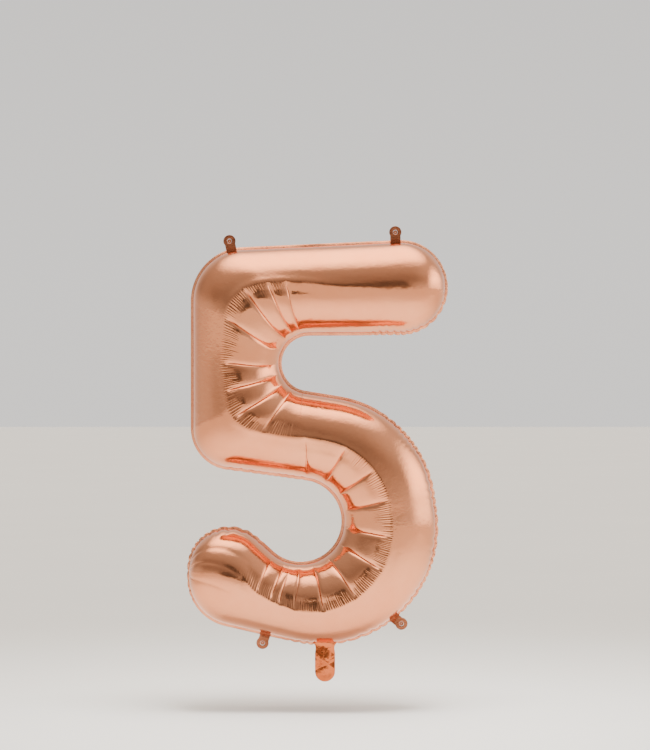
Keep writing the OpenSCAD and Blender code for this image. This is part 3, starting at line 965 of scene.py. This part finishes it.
class FIVE_OT_tabs(bpy.types.Operator):
    """Make the four hanging tabs"""
    bl_idname = "five.tabs"
    bl_label = "Hanging tabs"
    bl_options = {"REGISTER", "UNDO"}

    def execute(self, context):
        s, foil = settings(context)
        # Painted shade: the tabs' dark red-brown stands in for shade and dark reflection, not the film's own
        # colour
        skin = crimped_foil("tab_foil", foil.tab_shaded_tint, foil.tab_shaded_second, 0.22)
        joints = {j["name"]: j for j in frame["joints"]}
        mounts = {m["name"]: m for m in frame["record"]["mounts"]}
        for k, place in enumerate(("top_left", "top_right", "bottom_left", "bottom_right")):
            fold = Vector(joints[f"tab_{place}_fold"]["pos_m"])
            hole = Vector(mounts[f"hole_{place}"]["pos_m"])
            out = (hole - fold).normalized()
            rng = np.random.default_rng(foil.seed + 10 + k)
            v, f = tab_shape(s, rng)
            across = out.cross(Vector((0, 1, 0)))
            axes = np.array([across, (0, 1, 0), out])
            obj = make_object(f"{place}_tab", v @ axes + np.array(hole), f, skin)
            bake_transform(obj)
            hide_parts(f"hang_tab_{place}")
        return {"FINISHED"}


def tab_shape(s, rng):
    """A tab about its hole, with the flap that was punched from it: x across, y through, z outwards."""
    a = np.linspace(0, 2 * math.pi, 120, endpoint=False)
    with np.errstate(divide="ignore"):
        neck = np.minimum(s.tab_w / 2 / np.abs(np.sin(a)), (s.tab_reach + s.seam_in) / np.abs(np.cos(a)))
    far = np.where(np.cos(a) < 0, np.maximum(neck, s.tab_head_r), s.tab_head_r)
    r = s.tab_hole_r + (far[:, None] - s.tab_hole_r) * np.linspace(0, 1, 16)
    x, z = r * np.sin(a)[:, None], r * np.cos(a)[:, None]
    level = smooth(-z, s.tab_reach - 0.010, s.tab_reach)
    fold = crumple(x, z, rng, 5, 0.0006, 0.004)
    ring = -0.0005 * np.exp(-(((r - s.tab_hole_r - 0.0025) / 0.0014) ** 2))
    bend = 0.0016 * np.sin(z / 0.011 + rng.uniform(-0.4, 0.4)) + 9.0 * x * x * rng.uniform(-1, 1)
    y = (ring + bend + fold) * (1 - level)
    body = plate(np.stack([x, y, z], -1), TAB_T, ring=True)
    flap_r = (s.tab_hole_r - 0.0004) * np.linspace(0, 1, 9)[None, 1:]
    flap_x, flap_z = flap_r * np.sin(a)[:, None], flap_r * np.cos(a)[:, None]
    flap_y = (flap_z + s.tab_hole_r) * 0.34 + y[len(a) // 2, 0]
    flap = plate(np.stack([flap_x, flap_y, flap_z * 0.95 - 0.0002], -1), TAB_T, ring=True)
    return joined([body, flap])


class FIVE_OT_stage(bpy.types.Operator):
    """Set the floor, the light and the camera"""
    bl_idname = "five.stage"
    bl_label = "Stage"
    bl_options = {"REGISTER", "UNDO"}

    def execute(self, context):
        scene, st = context.scene, context.scene.five_stage
        floor_z = -scene.five_sizes.tail_l - st.floor_drop
        corners = [(x * st.floor_reach, y * st.floor_reach, floor_z)
                   for x, y in ((-1, -1), (1, -1), (1, 1), (-1, 1))]
        paint = matte("floor_paint", st.floor_tint, st.floor_second)
        floor = make_object("floor", corners, [[0, 1, 2, 3]], paint, smooth_faces=False)
        lights = [
            soft_light("overhead", place=(0.2, -0.4, 3.0), aim=(0.1, -0.3, 0), wide=1.0, high=1.0,
                       power=34, spread=70, colour=(1.0, 0.97, 0.93)),
            soft_light("right", place=(3.0, -0.9, 0.9), aim=(0, 0, 0.45), wide=0.8, high=2.0,
                       power=14, spread=180, colour=(1.0, 0.98, 0.95)),
        ]
        scene.camera = front_camera(st)
        scene.world = light_tent(st.world)
        return {"FINISHED"}


def front_camera(st, sensor=36):
    camera = bpy.data.objects.new("camera", bpy.data.cameras.new("camera"))
    bpy.context.scene.collection.objects.link(camera)
    camera.location = Vector(st.centre) - Vector((0, st.distance, 0))
    camera.rotation_euler = (math.radians(90), 0, 0)
    camera.data.sensor_width = sensor
    camera.data.lens = sensor * st.distance / st.view_h
    camera.data.dof.use_dof = False
    camera.data.clip_end = 2 * st.floor_reach
    return camera


def light_tent(strength):
    """Soft light from all round, as in a tent of white cloth: brighter above and to the right, and dim at the
    opening in front."""
    tent = Shader(bpy.data.worlds.new("light_tent"))
    x, y, z = tent.parts(tent.place("Generated"))
    top = z.mapped(0.72, 1.0)
    right = x.mapped(0.72, 1.0) * z.mapped(-0.1, 0.34, 0.22, 1.0)
    left = (x * -1).mapped(0.8, 1.0)
    horizon = 1 - z.mapped(0.0, 0.32)
    opening = (y * -1).mapped(0.945, 0.992)
    level = (0.34 + z.mapped(0.2, 0.8) * 0.35 + top * 4.8 + x.mapped(0.2, 0.8) * 0.30
             + right * 4.6 + left * 0.18 + y.mapped(0.3, 0.9) * 0.55
             + horizon * (0.38 - y.mapped(0.2, 0.9) * 0.20))
    tent.set("Background", strength=level * (1 - opening * 0.77) * strength,
             color=tent.colour((top + right).clamped(), (1.0, 0.965, 0.93), (1.0, 0.86, 0.69)))
    return tent.owner


def soft_light(name, place, aim, wide, high, power, spread, colour):
    lamp = bpy.data.lights.new(name, "AREA")
    lamp.shape = "RECTANGLE"
    lamp.size, lamp.size_y = wide, high
    lamp.energy = power
    lamp.spread = math.radians(spread)
    lamp.color = colour
    obj = bpy.data.objects.new(name, lamp)
    obj.location = place
    obj.rotation_euler = (Vector(aim) - Vector(place)).to_track_quat("-Z", "Y").to_euler()
    obj.visible_glossy = False
    bpy.context.scene.collection.objects.link(obj)
    return obj


class FIVE_PT_sidebar(bpy.types.Panel):
    """Sizes and steps of the figure"""
    bl_label = "Foil Five"
    bl_idname = "FIVE_PT_sidebar"
    bl_space_type = "VIEW_3D"
    bl_region_type = "UI"
    bl_category = "Foil Five"

    def draw(self, context):
        for group in (context.scene.five_sizes, context.scene.five_foil, context.scene.five_stage):
            box = self.layout.box()
            for name in group.__annotations__:
                box.prop(group, name)
        for step in STEPS:
            self.layout.operator(step.bl_idname)


STEPS = (FIVE_OT_panels, FIVE_OT_seam, FIVE_OT_tail, FIVE_OT_valve, FIVE_OT_tabs, FIVE_OT_stage)
CLASSES = (FigureSizes, FoilSettings, StageSettings, *STEPS, FIVE_PT_sidebar)


def register():
    for c in CLASSES:
        bpy.utils.register_class(c)
    bpy.types.Scene.five_sizes = PointerProperty(type=FigureSizes)
    bpy.types.Scene.five_foil = PointerProperty(type=FoilSettings)
    bpy.types.Scene.five_stage = PointerProperty(type=StageSettings)


def unregister():
    del bpy.types.Scene.five_sizes, bpy.types.Scene.five_foil, bpy.types.Scene.five_stage
    for c in reversed(CLASSES):
        bpy.utils.unregister_class(c)


def main():
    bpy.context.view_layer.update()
    register()
    bpy.ops.five.panels()
    bpy.ops.five.seam()
    bpy.ops.five.tail()
    bpy.ops.five.valve()
    bpy.ops.five.tabs()
    bpy.ops.five.stage()
    bpy.context.view_layer.update()


if __name__ == "__main__":
    main()
